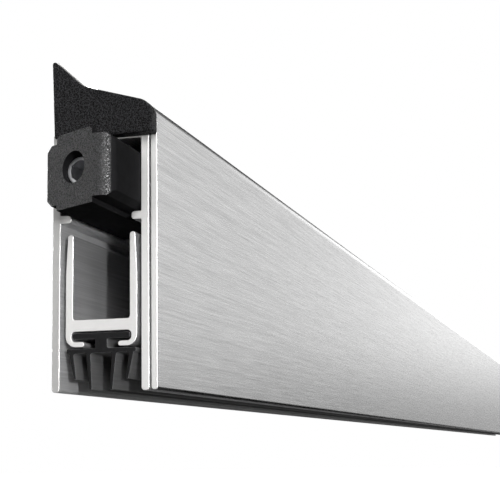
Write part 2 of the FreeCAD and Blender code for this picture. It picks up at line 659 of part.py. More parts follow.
def bell_crank(label, station):
    """Cast crank with two forked arms at a right angle, drawn upright and turned back by half a swing."""
    body = new_body(label, station, MECHANISM_Y, PIVOT_Z)
    body.Placement.Rotation = FreeCAD.Rotation(FreeCAD.Vector(0, 1, 0), -1)
    tie(body, "Placement.Rotation.Angle", "0 - swing / 2")
    half, side = "crank_half_width", "(0 - crank_half_width)"
    rod_tip, carrier_tip = "(rod_arm + arm_overrun)", "(carrier_arm + 2 * arm_overrun)"
    pad(body, "Y", [[(side, side), (side, rod_tip), (half, rod_tip), (half, "crank_gusset"),
                     ("crank_gusset", half), (carrier_tip, half), (carrier_tip, side)]],
        f"(0 - {CRANK_HALF})", CRANK_HALF)
    soften(body, "Fillet", "(crank_half_width - slide_gap)", "Y", [(side, side)])
    gap = "(pin / 2 + arm_play)"
    slots = {"rod_arm": band("0", gap, f"(rod_arm - {gap} - arm_play / 2)", f"({rod_tip} + 1)"),
             "carrier_arm": rectangle(f"(carrier_arm - {gap} - arm_play / 2)", f"({carrier_tip} + 1)",
                                      f"(0 - {gap})", gap)}
    for slot in slots.values():
        pocket(body, "Y", [slot], f"(0 - 2 * {CRANK_HALF})", f"(2 * {CRANK_HALF})")
    inner = [slots["rod_arm"][0], slots["rod_arm"][3], slots["carrier_arm"][0], slots["carrier_arm"][1]]
    soften(body, "Fillet", f"({gap} - slide_gap / 2)", "Y", inner)
    pocket(body, "Y", [("0", "0", "(pin + 2 * pivot_play)")],
           f"(0 - 2 * {CRANK_HALF})", f"(2 * {CRANK_HALF})")


def lift_frame(label, station):
    """Cast frame: two blocks in the upper chamber and two cheeks that hang into the carrier.

    The blocks guide the rod, and a peg on the rear one is peened into the housing's roof. The cheeks
    hold the crank's pivot, and their slots keep the carrier's pin from moving along the seal.
    """
    body = new_body(label, station)
    start, end = FRONT_BLOCK, f"({SPRING_SEAT} + frame_block)"
    block_end = f"({FRONT_BLOCK} + frame_block)"
    top = f"({CEILING} - frame_gap)"
    seat = f"({LEDGE_TOP} + frame_gap)"
    gap = "(pin / 2 + arm_play)"
    slot = [f"(carrier_arm {side} {gap})" for side in "-+"]
    slot_top = f"({CARRIER_PIN_Z} + pin / 2 + pin_clearance)"
    toe, knee = "(0 - crank_half_width)", "(0 - crank_half_width - cheek)"
    cheek_top, shoulder = f"({LEDGE_TOP} - frame_gap)", f"({LEDGE_BOTTOM} - cheek_shoulder_drop)"
    bottom = f"({WEB_TOP} + cheek_lift)"
    pad(body, "Y", [[
        (start, shoulder), (start, top), (block_end, top), (block_end, cheek_top),
        (SPRING_SEAT, cheek_top), (SPRING_SEAT, top), (end, top), (end, shoulder),
        (f"({SPRING_SEAT} - cheek)", shoulder), (f"({slot[1]} + crank_half_width)", bottom),
        (slot[1], bottom), (slot[1], slot_top), (slot[0], slot_top), (slot[0], bottom),
        (toe, bottom), (knee, f"({bottom} + crank_half_width)"), (f"({block_end} - cheek)", shoulder),
    ]], "(wall + frame_gap)", f"({BACK_WALL} - frame_gap)")
    soften(body, "Chamfer", "slot_chamfer", "Y", [(x, slot_top) for x in slot])
    below = f"({bottom} - 1)"
    pocket(body, "X", [rectangle("0", f"({MECHANISM_Y} - {CHEEK_OUTER})", below, seat),
                       rectangle(f"({MECHANISM_Y} + {CHEEK_OUTER})", "depth", below, seat),
                       band(MECHANISM_Y, CHEEK_INNER, below, seat)],
           f"({start} - 1)", f"({end} + 1)")
    pocket(body, "X", [(ROD_Y, ROD_Z, "(rod + 2 * frame_gap)")], f"({SPRING_SEAT} - 1)", f"({end} + 1)")
    pocket(body, "X", [band(ROD_Y, "(rod / 2 + frame_gap)", f"({ROD_Z} - rod / 2 - frame_gap)",
                            f"({top} + 1)")], f"({start} - 1)", f"({block_end} + 1)")
    pocket(body, "Y", [("0", PIVOT_Z, "(pin + 2 * pin_fit)")], "0", "depth")
    pad(body, "Z", [stake("0")], top, ROOF_TOP)


def carrier_profile():
    """Aluminium extrusion: a deep U for the mechanism over a slot for the seal's head."""
    body = new_body("carrier_profile")
    leg_tip, leg_top = f"({CARRIER_INNER} + carrier_leg_tip)", f"({LEDGE_BOTTOM} - leg_gap)"
    half = [(CARRIER_INNER, WEB_TOP), (CARRIER_INNER, leg_top), (leg_tip, leg_top),
            (CARRIER_HALF, f"({WEB_TOP} + taper_rise)"), (CARRIER_HALF, CARRIER_BOTTOM),
            ("carrier_mouth_half", CARRIER_BOTTOM), ("carrier_mouth_half", SLOT_BOTTOM),
            (SLOT_HALF, SLOT_BOTTOM), (SLOT_HALF, SLOT_TOP)]
    back = [(f"({MECHANISM_Y} + {y})", z) for y, z in half]
    front = [(f"({MECHANISM_Y} - {y})", z) for y, z in reversed(half)]
    pad(body, "X", [back + front], "0", "length")
    soften(body, "Fillet", "carrier_round", "X", [back[4], front[4]])
    soften(body, "Fillet", "leg_round", "X", [back[1], back[2], front[6], front[7], back[0], front[8]])
    pocket(body, "Z", [slot for station in STATIONS.values() for slot in tongues(station, "pin_fit")],
           SLOT_TOP, f"({WEB_TOP} + 1)")


def seal_strip():
    """Extruded rubber: T-head for the carrier's slot, base and four fins that lean inwards."""
    body = new_body("seal_strip")
    head_top = f"({SLOT_TOP} - seal_gap)"
    head_bottom = f"({head_top} - seal_head_thickness)"
    head_half, base_half = f"({SLOT_HALF} - seal_side_gap)", f"({CARRIER_HALF} - seal_side_gap)"
    half = [(head_half, head_top), (head_half, head_bottom), ("seal_stem_half", head_bottom),
            ("seal_stem_half", BASE_TOP), (base_half, BASE_TOP), (base_half, BASE_BOTTOM)]
    for fin, root in (("outer_fin", f"({base_half} - outer_fin_inset)"), ("inner_fin", "inner_fin_root")):
        tip, bottom = f"({root} - {fin}_lean)", f"({BASE_BOTTOM} - {fin}_length)"
        half += [(f"({root} + fin_root_thickness / 2)", BASE_BOTTOM),
                 (f"({tip} + fin_tip_thickness / 2)", bottom),
                 (f"({tip} - fin_tip_thickness / 2)", bottom),
                 (f"({root} - fin_root_thickness / 2)", BASE_BOTTOM)]
    back = [(f"({MECHANISM_Y} + {y})", z) for y, z in half]
    front = [(f"({MECHANISM_Y} - {y})", z) for y, z in reversed(half)]
    pad(body, "X", [back + front], "0", "length")


def carrier_bracket(label, station):
    """Folded steel bracket staked in the carrier's web, whose two ears hold the carrier's pin."""
    body = new_body(label, station)
    floor = f"({WEB_TOP} + bracket_sheet)"
    top = f"({CARRIER_PIN_Z} + ear_rise)"
    width = [f"({MECHANISM_Y} {side} {EAR_OUTER})" for side in "-+"]
    pad(body, "Z", [rectangle(BRACKET_FRONT, BRACKET_BACK, *width)], WEB_TOP, floor)
    pad(body, "Y", [band("carrier_arm", "ear_length / 2", WEB_TOP, top)], *width)
    soften(body, "Chamfer", "(ear_rise / 2)", "Y",
           [(f"(carrier_arm {side} ear_length / 2)", top) for side in "-+"])
    pocket(body, "X", [band(MECHANISM_Y, EAR_INNER, floor, f"({top} + 1)")], "0", "(2 * carrier_arm)")
    pocket(body, "Y", [("carrier_arm", CARRIER_PIN_Z, "(pin + 2 * pin_fit)")], "0", "depth")
    pad(body, "Z", tongues("0"), SLOT_TOP, WEB_TOP)


def return_spring(label, station):
    """Compression spring on the rod between the fork and the frame's rear block.

    The wire is a hexagon carried along straight pieces of a helix, a whole number for each turn.
    """
    start, end = value(f"{FORK_BACK} + slide_gap + coil_wire / 2"), value(f"{SPRING_SEAT} - slide_gap")
    radius, wire, bends = value("coil_radius"), value("coil_wire") / 2, round(value("coil_bends"))
    steps = round(value("coil_turns") * bends)
    advance = (end - wire - start) / steps
    route = [FreeCAD.Vector(start + advance * step, radius * math.sin(2 * math.pi * step / bends),
                            radius * math.cos(2 * math.pi * step / bends)) for step in range(steps + 1)]
    section = [FreeCAD.Vector(start + wire * math.cos(math.pi * side / 3), 0,
                              radius + wire * math.sin(math.pi * side / 3)) for side in range(7)]
    mitred = 1
    spring = document.addObject("Part::Feature", label)
    spring.Shape = Part.makePolygon(route).makePipeShell([Part.makePolygon(section)], True, False, mitred)
    place(spring, station, ROD_Y, ROD_Z)


housing_profile()
cover_profile()
end_cap("front_end_cap", "(0 - cap_plate)", "0", "peg_reach")
end_cap("rear_end_cap", "(length + cap_plate)", "length", "(length - peg_reach)")
actuator_block()
adjust_screw()
rod_end()
screw_clip()
push_rod()
carrier_profile()
seal_strip()
for end, station in STATIONS.items():
    lift_frame(f"{end}_lift_frame", station)
    bell_crank(f"{end}_bell_crank", station)
    slider_fork(f"{end}_slider_fork", station)
    carrier_bracket(f"{end}_carrier_bracket", station)
    return_spring(f"{end}_return_spring", station)
    pin_across(f"{end}_pivot_pin", station, "0", PIVOT_Z, CHEEK_OUTER)
    pin_across(f"{end}_rod_pin", station, ROD_PIN_X, ROD_PIN_Z, LUG_OUTER)
    pin_across(f"{end}_carrier_pin", station, "carrier_arm", CARRIER_PIN_Z, CHEEK_OUTER)
document.recompute()

for item in document.Objects:
    if {"Invalid", "Error"} & set(item.State):
        raise RuntimeError(f"{item.Label} failed: {item.State}")
    if item.TypeId == "PartDesign::Pocket" and item.Shape.Volume >= item.BaseFeature.Shape.Volume - TOUCH:
        raise RuntimeError(f"{item.Label} removes nothing")

kinds = ("PartDesign::Body", "Part::Cylinder", "Part::Feature")
subparts = [item for item in document.Objects if item.TypeId in kinds]
for item in subparts:
    if item.Shape.isNull() or not item.Shape.isValid():
        raise RuntimeError(f"{item.Label} has no valid solid")
os.makedirs("parts", exist_ok=True)
for item in subparts:
    item.Shape.exportStep(f"parts/{item.Label}.step")
    print(item.Label, len(item.Shape.Solids), round(item.Shape.Volume, 1))
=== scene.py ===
"""Automatic door bottom seal, dressed for close views of its cut end.

Outlines are drawn in millimetres from the housing's front end, its front face and its open
bottom edges, as depth towards the door and height. Finished pieces are in metres, in the
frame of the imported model.
"""
import json
import math

import bmesh
import bpy
import numpy as np
from mathutils import Matrix, Vector


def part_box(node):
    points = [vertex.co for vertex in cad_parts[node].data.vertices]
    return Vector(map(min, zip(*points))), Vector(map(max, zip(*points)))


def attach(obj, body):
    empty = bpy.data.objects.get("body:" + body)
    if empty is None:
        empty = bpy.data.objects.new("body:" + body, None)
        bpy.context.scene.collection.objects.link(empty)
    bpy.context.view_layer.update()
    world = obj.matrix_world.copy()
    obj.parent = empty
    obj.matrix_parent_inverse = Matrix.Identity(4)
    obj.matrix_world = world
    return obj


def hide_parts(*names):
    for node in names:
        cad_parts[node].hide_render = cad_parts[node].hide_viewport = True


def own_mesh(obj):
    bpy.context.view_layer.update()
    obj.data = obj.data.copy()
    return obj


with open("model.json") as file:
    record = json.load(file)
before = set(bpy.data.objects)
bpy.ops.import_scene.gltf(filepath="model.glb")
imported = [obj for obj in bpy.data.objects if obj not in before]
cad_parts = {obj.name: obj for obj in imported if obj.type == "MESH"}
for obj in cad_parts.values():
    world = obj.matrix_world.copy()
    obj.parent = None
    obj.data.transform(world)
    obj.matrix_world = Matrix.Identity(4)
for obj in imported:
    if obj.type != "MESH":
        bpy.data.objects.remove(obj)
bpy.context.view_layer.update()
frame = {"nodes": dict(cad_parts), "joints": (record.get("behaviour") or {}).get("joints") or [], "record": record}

# Camera. It stands before the cut end, in front of the door's face and a little below the seal,
# and looks up along it. Its place and turn were solved from the edges in the photograph.
STAND = (-0.521832, -0.069739, -0.008989)
HEADING, PITCH, ROLL = 15.60, 9.0, -0.86
FOCAL_LENGTH = 92.27
lens = bpy.data.cameras.new("camera")
lens.lens = FOCAL_LENGTH
lens.clip_start = 0.01
lens.clip_end = 30
camera = bpy.data.objects.new("camera", lens)
camera.matrix_world = (Matrix.Translation(STAND)
                       @ Matrix.Rotation(math.radians(HEADING - 90), 4, "Z")
                       @ Matrix.Rotation(math.radians(PITCH + 90), 4, "X")
                       @ Matrix.Rotation(math.radians(ROLL), 4, "Z"))
bpy.context.collection.objects.link(camera)
bpy.context.scene.camera = camera
bpy.context.scene.view_settings.view_transform = "Standard"


class Signal:
    """A value in a node tree. Sums and products of signals become nodes of the same tree."""

    def __init__(self, tree, socket):
        self.tree = tree
        self.socket = socket

    def node(self, kind, values, settings=None, output=0):
        """Adds any node: first its settings, then the numbers or signals of its sockets."""
        made = self.tree.nodes.new("ShaderNode" + kind)
        for name, setting in (settings or {}).items():
            setattr(made, name, setting)
        for name, value in values.items():
            if isinstance(value, Signal):
                self.tree.links.new(value.socket, made.inputs[name])
            else:
                made.inputs[name].default_value = value
        return Signal(self.tree, made.outputs[output])

    def math(self, operation, first, second=0.0):
        return self.node("Math", {0: first, 1: second}, {"operation": operation})

    def __add__(self, other):
        return self.math("ADD", self, other)

    def __sub__(self, other):
        return self.math("SUBTRACT", self, other)

    def __rsub__(self, other):
        return self.math("SUBTRACT", other, self)

    def __mul__(self, other):
        return self.math("MULTIPLY", self, other)

    __radd__ = __add__
    __rmul__ = __mul__

    def above(self, low, high):
        """0 below low and 1 above high, with a smooth rise in between."""
        return self.node("MapRange", {"Value": self, "From Min": low, "From Max": high},
                         {"interpolation_type": "SMOOTHSTEP"})

    def noise(self, size, detail=2.0, distortion=0.0):
        """Noise at this place, with a grain of the given size in millimetres along each axis."""
        scaled = self.node("VectorMath", {0: self, 1: [1000 / length for length in size]},
                           {"operation": "MULTIPLY"})
        return scaled.node("TexNoise", {"Vector": scaled, "Scale": 1.0, "Detail": detail,
                                        "Distortion": distortion})

    def tint(self, colour):
        """A colour that is made lighter or darker by this signal."""
        return self.node("VectorMath", {0: colour, "Scale": self}, {"operation": "SCALE"})


# Studio. White surroundings with a soft light above, one on the door's side, and two spots that light
# the cut end, one of them only its gloss, and spare the brushed cover. Metal mirrors a pale room that
# brightens upwards and towards the far end, and is dark below and by the door.
world = bpy.data.worlds.new("studio")
bpy.context.scene.world = world
world.use_nodes = True
background = world.node_tree.nodes["Background"]
ray = world.node_tree.nodes.new("ShaderNodeLightPath")
camera_ray, glossy_ray, clear_ray = [Signal(world.node_tree, ray.outputs[f"Is {kind} Ray"])
                                     for kind in ("Camera", "Glossy", "Transmission")]
heading = world.node_tree.nodes.new("ShaderNodeTexCoord")
direction = Signal(world.node_tree, heading.outputs["Generated"])
ahead, side, height = [direction.node("SeparateXYZ", {0: direction}, output=axis) for axis in range(3)]
AMBIENT, ROOM_SHEEN, LOW_SHEEN, SHEEN_RISE = 0.08, 0.6, 0.52, 0.42
SIDE_DIP, FAR_RISE, FAR_GLOW, FAR_GLINT, WALL_SLANT = 0.26, 2.4, 0.9, 4, 0.6
glint = FAR_GLINT * side.above(-0.06, 0.0) * height.above(0.01, 0.07)
far_end = FAR_GLOW * side.above(-0.13, -0.05) + glint
low_wall = LOW_SHEEN + far_end - SIDE_DIP * side.above(-0.34, -0.27)
wall = (1 + FAR_RISE * side.above(-0.22, -0.06)) * height.above(0.015, 0.10) * SHEEN_RISE + low_wall
slant = side + WALL_SLANT * height
lit_part = (1 - slant.above(0.08, 0.18) + slant.above(0.4, 0.5)) * height.above(-0.12, -0.03)
sheen = ROOM_SHEEN + (wall * lit_part - ROOM_SHEEN) * ahead.above(0.6, 0.8)
strength = (camera_ray + clear_ray) * (1 - AMBIENT) + glossy_ray * (sheen - AMBIENT) + AMBIENT
world.node_tree.links.new(strength.socket, background.inputs["Strength"])
background.inputs["Color"].default_value = (1, 1, 1, 1)


def lamp(name, kind, place, target, power, **settings):
    """Light of a kind, with its power in watts, that faces a target."""
    data = bpy.data.lights.new(name, kind)
    data.energy = power
    for setting, value in settings.items():
        setattr(data, setting, value)
    light = bpy.data.objects.new(name, data)
    light.location = place
    light.rotation_euler = (Vector(target) - Vector(place)).to_track_quat("-Z", "Y").to_euler()
    bpy.context.collection.objects.link(light)
    return light


CUT_END, BEFORE_END = (-0.35, 0, 0.02), (-0.45, 0, 0.025)
lamp("key_light", "AREA", (-1.5, -0.35, 0.75), CUT_END, power=12, size=0.7)
lamp("fill_light", "SPOT", (-1.5, -0.75, 0.05), BEFORE_END, power=96, shadow_soft_size=0.06,
     spot_size=math.radians(5.5), spot_blend=0.1)
edge_light = lamp("edge_light", "SPOT", (-1.15, -0.95, 0.1), BEFORE_END, power=290,
                  shadow_soft_size=0.07, spot_size=math.radians(6.5), spot_blend=0.1)
edge_light.visible_diffuse = False
lamp("door_side_light", "AREA", (1.8, 1.7, 0.6), (0, 0, 0.02), power=60, size=1.0)


def object_place(material):
    """Object coordinates of a material as a signal."""
    coordinates = material.node_tree.nodes.new("ShaderNodeTexCoord")
    return Signal(material.node_tree, coordinates.outputs["Object"])


# Floor. A round pale disc with a faint speckle, below the seal. It catches the seal's shadow and
# fades out before a horizon would show.
FLOOR_HEIGHT, FLOOR_RADIUS, FLOOR_CORNERS, SPECKLE_SIZE, SPECKLE = -0.045, 2.5, 96, 9, 0.02
FLOOR_TONE, FLOOR_GLOW, FADE_START, FADE_END = 0.86, 0.80, 0.9, FLOOR_RADIUS * 0.95
floor_mesh = bpy.data.meshes.new("floor")
around = np.linspace(0, 2 * np.pi, FLOOR_CORNERS, endpoint=False)
floor_mesh.from_pydata(np.stack([FLOOR_RADIUS * np.cos(around), FLOOR_RADIUS * np.sin(around),
                                 np.full(FLOOR_CORNERS, FLOOR_HEIGHT)], axis=1), [], [range(FLOOR_CORNERS)])
floor = bpy.data.objects.new("floor", floor_mesh)
bpy.context.collection.objects.link(floor)
floor.visible_glossy = False
floor.visible_diffuse = False
floor_finish = bpy.data.materials.new("pale_floor")
floor_finish.use_nodes = True
floor_tree = floor_finish.node_tree
floor_place = object_place(floor_finish)
distance = floor_place.node("VectorMath", {0: floor_place}, {"operation": "LENGTH"}, output=1)
speckle = floor_place.noise((SPECKLE_SIZE,) * 3) * SPECKLE
matt = distance.node("BsdfDiffuse", {"Color": (speckle + FLOOR_TONE).tint((1, 1, 1))})
glow = distance.node("Emission", {"Color": (1, 1, 1, 1), "Strength": FLOOR_GLOW})
lit = distance.node("AddShader", {0: matt, 1: glow})
clear = distance.node("BsdfTransparent", {"Color": (1, 1, 1, 1)})
faded = distance.node("MixShader", {0: distance.above(FADE_START, FADE_END), 1: lit, 2: clear})
floor_tree.links.new(faded.socket, floor_tree.nodes["Material Output"].inputs["Surface"])
floor_mesh.materials.append(floor_finish)

# Housing. Inverted U of extruded, satin anodised aluminium with two ledges for the slider, a hook
# for the cover and a flange that is screwed to the door. Its ends are sawn and left bare.
ORIGIN = np.array(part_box("housing_profile")[0])
LENGTH, DEPTH, WALL = 710.0, 15.0, 1.2
LEDGE_BOTTOM, LEDGE_TOP, CEILING, ROOF_TOP, FLANGE_TOP = 24.7, 25.9, 36.8, 38.0, 46.6
BACK_WALL = DEPTH - WALL
EDGE, RIM_STEPS, MOSTLY_ALONG = 0.12, 5, 0.6
record = frame["record"]
BODY_OF = {node: body for body, nodes in record["behaviour"]["bodies"].items() for node in nodes}


def new_finish(name, colour, roughness, metallic=0.0, specular=0.5):
    """Principled material with constants on its sockets; returns it with its object coordinates."""
    material = bpy.data.materials.new(name)
    material.use_nodes = True
    shader = material.node_tree.nodes["Principled BSDF"]
    shader.inputs["Base Color"].default_value = (*colour, 1)
    shader.inputs["Roughness"].default_value = roughness
    shader.inputs["Metallic"].default_value = metallic
    shader.inputs["Specular IOR Level"].default_value = specular
    return material, object_place(material)


def drive(material, **signals):
    """Links signals to the shader's sockets; words joined by _ name the socket."""
    shader = material.node_tree.nodes["Principled BSDF"]
    for name, signal in signals.items():
        material.node_tree.links.new(signal.socket, shader.inputs[name.replace("_", " ")])


def bump(height, depth):
    """Normal that is roughened by a height of 0 to 1, whose 1 stands for a depth in millimetres."""
    return height.node("Bump", {"Height": height, "Distance": depth / 1000, "Strength": 1.0})


def drawn_metal(name, colour, roughness, metallic, contrast, groove):
    """Aluminium with fine lines along the piece, as drawn through a die or brushed."""
    material, place = new_finish(name, colour, roughness, metallic)
    broad = place.noise((24, 0.35, 0.35), detail=3)
    fine = place.noise((10, 0.16, 0.16), detail=2)
    lines = broad * 0.5 + fine * 0.5
    drive(material, Base_Color=((lines - 0.5) * contrast + 1).tint(colour),
          Roughness=(fine - 0.5) * 0.16 + roughness, Normal=bump(lines, groove))
    return material


def sawn_metal(name, colour, door_shade=0.0):
    """Bare aluminium where a saw cut the profile: bright, matt, with faint marks.

    Painted shade darkens it towards the door, between two depths in metres.
    """
    material, place = new_finish(name, colour, 0.5, metallic=0.75)
    # Painted shade: the colour darkens towards the door by the given share.
    dull = place.node("SeparateXYZ", {0: place}, output=1).above(SHADE_FROM, SHADE_BEYOND) * door_shade
    marks = place.noise((0.4, 0.9, 0.12), detail=2)
    patches = place.noise((2.5, 2.5, 2.5), detail=2)
    drive(material, Base_Color=((marks - 0.5) * 0.07 + (patches - 0.5) * 0.05 + 1 - dull).tint(colour),
          Roughness=marks * 0.15 + 0.42, Normal=bump(marks, 0.004))
    return material


SHADE_FROM, SHADE_BEYOND = 0.0055, 0.0070
EXTRUDED, SAWN = (0.66, 0.66, 0.665), (0.70, 0.695, 0.685)
extruded_aluminium = drawn_metal("extruded_aluminium", EXTRUDED, roughness=0.42, metallic=0.35,
                                 contrast=0.9, groove=0.012)
sawn_aluminium = sawn_metal("sawn_aluminium", SAWN)
# The housing's sawn end gets painted shade on its door side.
sawn_housing = sawn_metal("sawn_housing", SAWN, door_shade=0.36)


def rounded(corners, steps=6):
    """Outline whose corners (depth, height, radius) are rounded, always counter-clockwise.

    Each arc is C + r (U cos a - B sin a): B points from the corner back along the outline, the
    centre C lies on the corner's bisector and U points from it to where the arc starts.
    """
    data = np.array(corners, float)
    corner, radius = data[:, :2], data[:, 2:]
    before, after = np.roll(corner, 1, axis=0) - corner, np.roll(corner, -1, axis=0) - corner
    before /= np.linalg.norm(before, axis=1, keepdims=True)
    after /= np.linalg.norm(after, axis=1, keepdims=True)
    half = np.arccos(np.sum(before * after, axis=1, keepdims=True)) / 2
    bisector = (before + after) / np.linalg.norm(before + after, axis=1, keepdims=True)
    centre = corner + bisector * radius / np.sin(half)
    first = (corner + before * radius / np.tan(half) - centre) / radius
    angle = np.linspace(0, 1, steps + 1)[:, None] * (np.pi - 2 * half)[:, None]
    arcs = centre[:, None] + radius[:, None] * (first[:, None] * np.cos(angle)
                                                - before[:, None] * np.sin(angle))
    points = arcs.reshape(-1, 2)
    across, up = points.T
    turn = np.sum(across * np.roll(up, -1) - up * np.roll(across, -1))
    return points if turn > 0 else points[::-1]


def circle(middle, radius, count=64):
    """Round outline M + r (cos a, sin a)."""
    angle = np.linspace(0, 2 * np.pi, count, endpoint=False)[:, None]
    return np.array(middle) + radius * np.hstack([np.cos(angle), np.sin(angle)])


def skin(name, rings):
    """Closed piece through rings of points: quads between them, and a flat face on each end."""
    count, around = rings.shape[:2]
    here = np.arange(count * around).reshape(count, around)
    beside = np.roll(here, -1, axis=1)
    quads = np.stack([here[:-1], beside[:-1], beside[1:], here[1:]], axis=-1).reshape(-1, 4)
    mesh = bpy.data.meshes.new(name)
    mesh.from_pydata(rings.reshape(-1, 3) / 1000 + ORIGIN, [],
                     quads.tolist() + [here[0, ::-1].tolist(), here[-1].tolist()])
    piece = bpy.data.objects.new(name, mesh)
    bpy.context.collection.objects.link(piece)
    return piece


def swept(name, outline, start, end, rims=(EDGE, EDGE), axis=0):
    """Outline carried along an axis, whose rims curl in by depth r (1 - cos a) and inset r (1 - sin a)."""
    ahead = np.roll(outline, -1, axis=0) - np.roll(outline, 1, axis=0)
    outward = np.stack([ahead[:, 1], -ahead[:, 0]], axis=1) / np.linalg.norm(ahead, axis=1)[:, None]
    curl = np.radians(np.linspace(0, 90, RIM_STEPS))
    depth, inset = 1 - np.cos(curl), 1 - np.sin(curl)
    along = np.concatenate([start + rims[0] * depth, (end - rims[1] * depth)[::-1]])
    inward = np.concatenate([rims[0] * inset, (rims[1] * inset)[::-1]])
    flat = outline - inward[:, None, None] * outward
    places = np.broadcast_to(along[:, None, None], (len(along), len(outline), 1))
    return skin(name, np.roll(np.concatenate([places, flat], axis=2), axis, axis=2))


def cut(piece, cutters):
    """Takes closed cutters out of a piece and keeps the result as its mesh."""
    for cutter in cutters:
        modifier = piece.modifiers.new("cut", "BOOLEAN")
        modifier.object = cutter
        modifier.solver = "EXACT"
    depsgraph = bpy.context.evaluated_depsgraph_get()
    piece.data = bpy.data.meshes.new_from_object(piece.evaluated_get(depsgraph))
    piece.modifiers.clear()
    for cutter in cutters:
        bpy.data.objects.remove(cutter)


def dress(piece, node, finish, end_finish=None, sharp=40):
    """Puts a piece in its CAD node's place: same body, its finish, smooth shading.

    Faces whose normal runs mostly along the piece get the end finish. Edges between faces that meet
    at more than the sharp angle stay crisp.
    """
    mesh = piece.data
    mesh.materials.clear()
    mesh.materials.append(finish)
    if end_finish:
        normals = np.zeros(len(mesh.polygons) * 3)
        mesh.polygons.foreach_get("normal", normals)
        faces_along = np.abs(normals.reshape(-1, 3)[:, 0]) > MOSTLY_ALONG
        mesh.materials.append(end_finish)
        mesh.polygons.foreach_set("material_index", faces_along.astype(np.int32))
    mesh.shade_smooth()
    mesh.set_sharp_from_angle(angle=math.radians(sharp))
    modifier = piece.modifiers.new("flat_faces", "WEIGHTED_NORMAL")
    modifier.keep_sharp = True
    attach(piece, BODY_OF[node])
    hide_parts(node)


HOOK_FRONT, HOOK_BACK, NIB_FRONT = 3.0, 4.0, 2.5
HOOK_TOP, NIB_BOTTOM = ROOF_TOP + 2.4, ROOF_TOP + 1.6
LIP, LIP_BOTTOM = BACK_WALL - 0.7, FLANGE_TOP - 0.7
FRONT_LEDGE, BACK_LEDGE = 2.7, 12.1
WALL_END, LEDGE_END = 0.5, 0.45
housing = swept("housing_extrusion", rounded([
    (0, 0, WALL_END), (0, ROOF_TOP, WALL_END), (HOOK_FRONT, ROOF_TOP, EDGE),
    (HOOK_FRONT, NIB_BOTTOM, EDGE), (NIB_FRONT, NIB_BOTTOM, EDGE), (NIB_FRONT, HOOK_TOP, EDGE),
    (HOOK_BACK, HOOK_TOP, EDGE), (HOOK_BACK, ROOF_TOP, EDGE), (BACK_WALL, ROOF_TOP, EDGE),
    (BACK_WALL, LIP_BOTTOM, EDGE), (LIP, LIP_BOTTOM, EDGE), (LIP, FLANGE_TOP, EDGE),
    (DEPTH, FLANGE_TOP, EDGE), (DEPTH, 0, WALL_END), (BACK_WALL, 0, WALL_END),
    (BACK_WALL, LEDGE_BOTTOM, EDGE), (BACK_LEDGE, LEDGE_BOTTOM, LEDGE_END),
    (BACK_LEDGE, LEDGE_TOP, LEDGE_END), (BACK_WALL, LEDGE_TOP, EDGE), (BACK_WALL, CEILING, EDGE),
    (WALL, CEILING, EDGE), (WALL, LEDGE_TOP, EDGE), (FRONT_LEDGE, LEDGE_TOP, LEDGE_END),
    (FRONT_LEDGE, LEDGE_BOTTOM, LEDGE_END), (WALL, LEDGE_BOTTOM, EDGE), (WALL, 0, WALL_END),
]), 0, LENGTH)


def slab(low, high):
    """Plain box between two corners, used as a cutter. It reaches past each face that it opens."""
    (left, near, bottom), (right, far, top) = low, high
    outline = np.array([(near, bottom), (far, bottom), (far, top), (near, top)], float)
    return swept("cutter", outline, left, right, rims=(0.0, 0.0))


STATIONS = {"front": 150.0, "rear": 560.0}
FLANGE_SETBACK, OVERREACH = 3, 1
FIXINGS, FIXING_HOLE, FIXING_HEIGHT, FIXING_INSET, FIXING_PITCH = 4, 4.5, 41.6, 40, 210
PEG_HOLE_PLACE, PEG_HOLE_LENGTH, PEG_HOLE_WIDTH = 24.48, 4.04, 6.04


def notch(left):
    """Cutter that sets one end of the flange back from the housing's end."""
    return slab((left, LIP - OVERREACH, ROOF_TOP),
                (left + FLANGE_SETBACK + OVERREACH, DEPTH + OVERREACH, FLANGE_TOP + OVERREACH))


def fixing_hole(number):
    """Cutter for one of the flange's plain holes, which repeat at a pitch."""
    middle = (FIXING_HEIGHT, FIXING_INSET + number * FIXING_PITCH)
    return swept("cutter", circle(middle, FIXING_HOLE / 2), LIP - OVERREACH, DEPTH + OVERREACH,
                 rims=(0.0, 0.0), axis=1)


def peg_hole(station):
    """Cutter for the roof's hole that takes a lift frame's peg."""
    middle = station + PEG_HOLE_PLACE
    return slab((middle - PEG_HOLE_LENGTH / 2, DEPTH / 2 - PEG_HOLE_WIDTH / 2, CEILING - OVERREACH),
                (middle + PEG_HOLE_LENGTH / 2, DEPTH / 2 + PEG_HOLE_WIDTH / 2, ROOF_TOP + OVERREACH))


cut(housing, [notch(-OVERREACH), notch(LENGTH - FLANGE_SETBACK)]
    + [fixing_hole(number) for number in range(FIXINGS)]
    + [peg_hole(station) for station in STATIONS.values()])
dress(housing, "housing_profile", extruded_aluminium, sawn_housing)

# Cover. Thin bent extrusion of aluminium, brushed along its length, that clips over the housing's
# hook and under the flange's lip. It hides the screws, and its cut edge shows beside the housing.
SHALLOW, STEEP = 0.29612, 0.92321
BEND_DEPTH, BEND_HEIGHT = 9.0, 44.55
COVER_OUTER, COVER_INNER, COVER_WALL, COVER_FOOT = -1.3, -0.3, 1.0, 0.1
SHOULDER_HEIGHT, SHOULDER_ROUND, BEND_ROUND, TIP_DEPTH = 41.5, 2.7, 5.5, 14.6


def slope(gradient, depth, below=0.0):
    """Height on a slope through the cover's bend, or of a parallel line that far below it."""
    return BEND_HEIGHT + gradient * (depth - BEND_DEPTH) - below * math.hypot(1, gradient)


